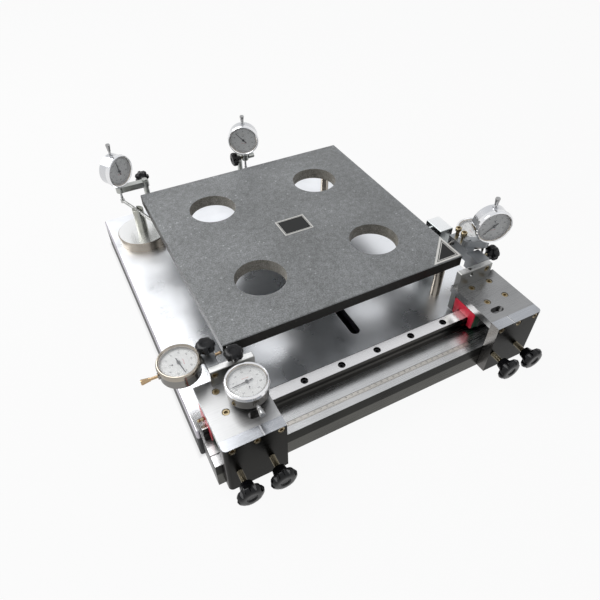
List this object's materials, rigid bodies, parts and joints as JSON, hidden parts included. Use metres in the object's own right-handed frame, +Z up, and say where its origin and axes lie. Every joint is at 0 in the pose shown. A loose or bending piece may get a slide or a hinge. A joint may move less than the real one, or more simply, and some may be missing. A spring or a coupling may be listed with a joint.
{
  "type": "tile flatness tester",
  "caption": "Bench gauge for the flatness and squareness of tiles: square base, linear guide with sliding carriages, lever stands and dial indicators around a calibration plate.",
  "frame": {"origin": "on the table plane, under the centre of the calibration plate", "axes": "+Z up, +X to the right along the guide rail, +Y from the guide rail to the back"},
  "size_m": [0.6206, 0.6485, 0.231],
  "materials": {
    "base_casting": "cast, dark",
    "base_table": "ground",
    "upper_rail_bar": "ground, dark",
    "lower_bar": "ground, dark",
    "left_front_plate": "ground, dark",
    "right_front_plate": "ground, dark",
    "guide_rails": "polished",
    "frame_bolts": "blackened",
    "steel_rule": "satin",
    "support_studs": "turned",
    "side_stop": "turned",
    "stand_columns": "turned",
    "stand_holders": "turned",
    "calibration_plate": "honed granite, speckled",
    "left_guide_block": "ground",
    "left_block_ends": "moulded",
    "left_top_plate": "ground",
    "left_upright": "ground",
    "left_carriage_screws": "yellow zinc",
    "left_dial_arm": "ground",
    "left_clamp_screw_1": "gloss",
    "left_clamp_screw_2": "gloss",
    "right_guide_block": "ground",
    "right_block_ends": "moulded",
    "right_top_plate": "ground",
    "right_upright": "ground",
    "right_carriage_screws": "yellow zinc",
    "right_dial_arm": "ground",
    "right_clamp_screw_1": "gloss",
    "right_clamp_screw_2": "gloss",
    "left_side_knob": "gloss",
    "left_front_knob": "gloss",
    "right_arm_knob": "gloss",
    "back_left_knob": "gloss",
    "back_middle_knob": "gloss",
    "back_left_lever": "turned",
    "back_middle_lever": "turned",
    "left_side_dial_case": "satin plated",
    "left_side_dial_bezel": "plated",
    "left_side_dial_plunger": "plated",
    "left_side_dial_pointer": "satin",
    "left_front_dial_case": "satin plated",
    "left_front_dial_bezel": "plated",
    "left_front_dial_plunger": "plated",
    "left_front_dial_pointer": "satin",
    "right_side_dial_case": "satin plated",
    "right_side_dial_bezel": "plated",
    "right_side_dial_plunger": "plated",
    "right_side_dial_pointer": "satin",
    "right_free_dial_case": "satin plated",
    "right_free_dial_bezel": "plated",
    "right_free_dial_plunger": "plated",
    "right_free_dial_pointer": "satin",
    "back_left_dial_case": "satin plated",
    "back_left_dial_bezel": "plated",
    "back_left_dial_plunger": "plated",
    "back_left_dial_pointer": "satin",
    "back_middle_dial_case": "satin plated",
    "back_middle_dial_bezel": "plated",
    "back_middle_dial_plunger": "plated",
    "back_middle_dial_pointer": "satin"
  },
  "bodies": {
    "base": {"base_casting": "base_casting", "base_table": "base_table", "upper_rail_bar": "upper_rail_bar", "lower_bar": "lower_bar", "guide_rails": "guide_rails", "frame_bolts": "frame_bolts", "steel_rule": "steel_rule", "support_studs": "support_studs", "side_stop": "side_stop", "stand_columns": "stand_columns", "stand_holders": "stand_holders", "back_left_dial_case": "back_left_dial_case", "back_middle_dial_case": "back_middle_dial_case"},
    "calibration_plate": {"calibration_plate": "calibration_plate"},
    "back_left_lever": {"back_left_lever": "back_left_lever"},
    "back_middle_lever": {"back_middle_lever": "back_middle_lever"},
    "left_carriage": {"left_guide_block": "left_guide_block", "left_block_ends": "left_block_ends", "left_top_plate": "left_top_plate", "left_front_plate": "left_front_plate", "left_upright": "left_upright", "left_carriage_screws": "left_carriage_screws", "left_dial_arm": "left_dial_arm", "left_side_dial_case": "left_side_dial_case", "left_front_dial_case": "left_front_dial_case"},
    "right_carriage": {"right_guide_block": "right_guide_block", "right_block_ends": "right_block_ends", "right_top_plate": "right_top_plate", "right_front_plate": "right_front_plate", "right_upright": "right_upright", "right_carriage_screws": "right_carriage_screws", "right_dial_arm": "right_dial_arm", "right_side_dial_case": "right_side_dial_case", "right_free_dial_case": "right_free_dial_case"},
    "left_clamp_screw_1": {"left_clamp_screw_1": "left_clamp_screw_1"},
    "left_clamp_screw_2": {"left_clamp_screw_2": "left_clamp_screw_2"},
    "right_clamp_screw_1": {"right_clamp_screw_1": "right_clamp_screw_1"},
    "right_clamp_screw_2": {"right_clamp_screw_2": "right_clamp_screw_2"},
    "left_side_knob": {"left_side_knob": "left_side_knob"},
    "left_front_knob": {"left_front_knob": "left_front_knob"},
    "right_arm_knob": {"right_arm_knob": "right_arm_knob"},
    "back_left_knob": {"back_left_knob": "back_left_knob"},
    "back_middle_knob": {"back_middle_knob": "back_middle_knob"},
    "left_side_dial_bezel": {"left_side_dial_bezel": "left_side_dial_bezel"},
    "left_side_dial_plunger": {"left_side_dial_plunger": "left_side_dial_plunger"},
    "left_side_dial_pointer": {"left_side_dial_pointer": "left_side_dial_pointer"},
    "left_front_dial_bezel": {"left_front_dial_bezel": "left_front_dial_bezel"},
    "left_front_dial_plunger": {"left_front_dial_plunger": "left_front_dial_plunger"},
    "left_front_dial_pointer": {"left_front_dial_pointer": "left_front_dial_pointer"},
    "right_side_dial_bezel": {"right_side_dial_bezel": "right_side_dial_bezel"},
    "right_side_dial_plunger": {"right_side_dial_plunger": "right_side_dial_plunger"},
    "right_side_dial_pointer": {"right_side_dial_pointer": "right_side_dial_pointer"},
    "right_free_dial_bezel": {"right_free_dial_bezel": "right_free_dial_bezel"},
    "right_free_dial_plunger": {"right_free_dial_plunger": "right_free_dial_plunger"},
    "right_free_dial_pointer": {"right_free_dial_pointer": "right_free_dial_pointer"},
    "back_left_dial_bezel": {"back_left_dial_bezel": "back_left_dial_bezel"},
    "back_left_dial_plunger": {"back_left_dial_plunger": "back_left_dial_plunger"},
    "back_left_dial_pointer": {"back_left_dial_pointer": "back_left_dial_pointer"},
    "back_middle_dial_bezel": {"back_middle_dial_bezel": "back_middle_dial_bezel"},
    "back_middle_dial_plunger": {"back_middle_dial_plunger": "back_middle_dial_plunger"},
    "back_middle_dial_pointer": {"back_middle_dial_pointer": "back_middle_dial_pointer"}
  },
  "joints": [
    {"name": "plate_lift", "type": "slide", "parent": "base", "child": "calibration_plate", "axis": [0, 0, 1], "range_m": [0, 0.1]},
    {"name": "left_carriage_travel", "type": "slide", "parent": "base", "child": "left_carriage", "axis": [1, 0, 0], "range_m": [-0.007, 0]},
    {"name": "right_carriage_travel", "type": "slide", "parent": "base", "child": "right_carriage", "axis": [1, 0, 0], "range_m": [0, 0.007]},
    {"name": "left_clamp_screw_1_turn", "type": "hinge", "parent": "left_carriage", "child": "left_clamp_screw_1", "pos_m": [-0.236, -0.3245, 0.051], "axis": [0, -1, 0], "range_deg": [-360, 90]},
    {"name": "left_clamp_screw_2_turn", "type": "hinge", "parent": "left_carriage", "child": "left_clamp_screw_2", "pos_m": [-0.191, -0.3245, 0.051], "axis": [0, -1, 0], "range_deg": [-360, 90]},
    {"name": "right_clamp_screw_1_turn", "type": "hinge", "parent": "right_carriage", "child": "right_clamp_screw_1", "pos_m": [0.179, -0.3245, 0.051], "axis": [0, -1, 0], "range_deg": [-360, 90]},
    {"name": "right_clamp_screw_2_turn", "type": "hinge", "parent": "right_carriage", "child": "right_clamp_screw_2", "pos_m": [0.224, -0.3245, 0.051], "axis": [0, -1, 0], "range_deg": [-360, 90]},
    {"name": "left_side_knob_turn", "type": "hinge", "parent": "left_carriage", "child": "left_side_knob", "pos_m": [-0.22125, -0.196, 0.136], "axis": [0, 0, 1], "range_deg": [-360, 90]},
    {"name": "left_front_knob_turn", "type": "hinge", "parent": "left_carriage", "child": "left_front_knob", "pos_m": [-0.1935, -0.2235, 0.136], "axis": [0, 0, 1], "range_deg": [-360, 90]},
    {"name": "right_arm_knob_turn", "type": "hinge", "parent": "right_carriage", "child": "right_arm_knob", "pos_m": [0.24, -0.203, 0.129], "axis": [1, 0, 0], "range_deg": [-360, 90]},
    {"name": "back_left_knob_turn", "type": "hinge", "parent": "base", "child": "back_left_knob", "pos_m": [-0.18, 0.248, 0.1405], "axis": [0, 1, 0], "range_deg": [-360, 90]},
    {"name": "back_middle_knob_turn", "type": "hinge", "parent": "base", "child": "back_middle_knob", "pos_m": [0.012, 0.236, 0.1455], "axis": [-1, 0, 0], "range_deg": [-360, 90]},
    {"name": "back_left_lever_rock", "type": "hinge", "parent": "base", "child": "back_left_lever", "pos_m": [-0.2109, 0.19578, 0.116], "axis": [0.9421, 0.3355, 0], "range_deg": [0, 5]},
    {"name": "back_middle_lever_rock", "type": "hinge", "parent": "base", "child": "back_middle_lever", "pos_m": [0.019, 0.188, 0.116], "axis": [1, 0, 0], "range_deg": [0, 5]},
    {"name": "left_side_dial_bezel_turn", "type": "hinge", "parent": "left_carriage", "child": "left_side_dial_bezel", "pos_m": [-0.259, -0.196, 0.128], "axis": [0, 0, 1], "continuous": true},
    {"name": "left_side_dial_plunger_travel", "type": "slide", "parent": "left_carriage", "child": "left_side_dial_plunger", "axis": [-1, 0, 0], "range_m": [0, 0.0055], "stiffness_N_per_m": 100, "springref_m": -0.01},
    {"name": "left_side_dial_pointer_turn", "type": "hinge", "parent": "left_carriage", "child": "left_side_dial_pointer", "pos_m": [-0.259, -0.196, 0.128], "axis": [0, 0, -1], "range_deg": [-10, 1990]},
    {"name": "left_front_dial_bezel_turn", "type": "hinge", "parent": "left_carriage", "child": "left_front_dial_bezel", "pos_m": [-0.1935, -0.264, 0.128], "axis": [0, 0, 1], "continuous": true},
    {"name": "left_front_dial_plunger_travel", "type": "slide", "parent": "left_carriage", "child": "left_front_dial_plunger", "axis": [0, -1, 0], "range_m": [0, 0.01], "stiffness_N_per_m": 100, "springref_m": -0.01},
    {"name": "left_front_dial_pointer_turn", "type": "hinge", "parent": "left_carriage", "child": "left_front_dial_pointer", "pos_m": [-0.1935, -0.264, 0.128], "axis": [0, 0, -1], "range_deg": [-10, 3610]},
    {"name": "right_side_dial_bezel_turn", "type": "hinge", "parent": "right_carriage", "child": "right_side_dial_bezel", "pos_m": [0.26, -0.1565, 0.133], "axis": [0, 0, 1], "continuous": true},
    {"name": "right_side_dial_plunger_travel", "type": "slide", "parent": "right_carriage", "child": "right_side_dial_plunger", "axis": [1, 0, 0], "range_m": [0, 0.0065], "stiffness_N_per_m": 100, "springref_m": -0.01},
    {"name": "right_side_dial_pointer_turn", "type": "hinge", "parent": "right_carriage", "child": "right_side_dial_pointer", "pos_m": [0.26, -0.1565, 0.133], "axis": [0, 0, -1], "range_deg": [-10, 2350]},
    {"name": "right_free_dial_bezel_turn", "type": "hinge", "parent": "right_carriage", "child": "right_free_dial_bezel", "pos_m": [0.248, -0.1935, 0.187], "axis": [-0.309, -0.9511, 0], "continuous": true},
    {"name": "right_free_dial_plunger_travel", "type": "slide", "parent": "right_carriage", "child": "right_free_dial_plunger", "axis": [0, 0, 1], "range_m": [0, 0.01], "stiffness_N_per_m": 100, "springref_m": -0.01},
    {"name": "right_free_dial_pointer_turn", "type": "hinge", "parent": "right_carriage", "child": "right_free_dial_pointer", "pos_m": [0.248, -0.1935, 0.187], "axis": [0.309, 0.9511, 0], "range_deg": [-10, 3610]},
    {"name": "back_left_dial_bezel_turn", "type": "hinge", "parent": "base", "child": "back_left_dial_bezel", "pos_m": [-0.227, 0.241, 0.181], "axis": [0.5592, -0.829, 0], "continuous": true},
    {"name": "back_left_dial_plunger_travel", "type": "slide", "parent": "base", "child": "back_left_dial_plunger", "axis": [0, 0, 1], "range_m": [0, 0.0045], "stiffness_N_per_m": 100, "springref_m": -0.01},
    {"name": "back_left_dial_pointer_turn", "type": "hinge", "parent": "base", "child": "back_left_dial_pointer", "pos_m": [-0.227, 0.241, 0.181], "axis": [-0.5592, 0.829, 0], "range_deg": [-10, 1630]},
    {"name": "back_middle_dial_bezel_turn", "type": "hinge", "parent": "base", "child": "back_middle_dial_bezel", "pos_m": [0.019, 0.236, 0.186], "axis": [-0.4067, -0.9135, 0], "continuous": true},
    {"name": "back_middle_dial_plunger_travel", "type": "slide", "parent": "base", "child": "back_middle_dial_plunger", "axis": [0, 0, 1], "range_m": [0, 0.0045], "stiffness_N_per_m": 100, "springref_m": -0.01},
    {"name": "back_middle_dial_pointer_turn", "type": "hinge", "parent": "base", "child": "back_middle_dial_pointer", "pos_m": [0.019, 0.236, 0.186], "axis": [0.4067, 0.9135, 0], "range_deg": [-10, 1630]}
  ],
  "couplings": [
    {"joint": "left_side_dial_pointer_turn", "follows": "left_side_dial_plunger_travel", "rad_per_m": 6283.2},
    {"joint": "left_front_dial_pointer_turn", "follows": "left_front_dial_plunger_travel", "rad_per_m": 6283.2},
    {"joint": "right_side_dial_pointer_turn", "follows": "right_side_dial_plunger_travel", "rad_per_m": 6283.2},
    {"joint": "right_free_dial_pointer_turn", "follows": "right_free_dial_plunger_travel", "rad_per_m": 6283.2},
    {"joint": "back_left_dial_plunger_travel", "follows": "back_left_lever_rock", "m_per_rad": 0.048},
    {"joint": "back_left_dial_pointer_turn", "follows": "back_left_lever_rock", "ratio": 301.59},
    {"joint": "back_middle_dial_plunger_travel", "follows": "back_middle_lever_rock", "m_per_rad": 0.048},
    {"joint": "back_middle_dial_pointer_turn", "follows": "back_middle_lever_rock", "ratio": 301.59}
  ]
}
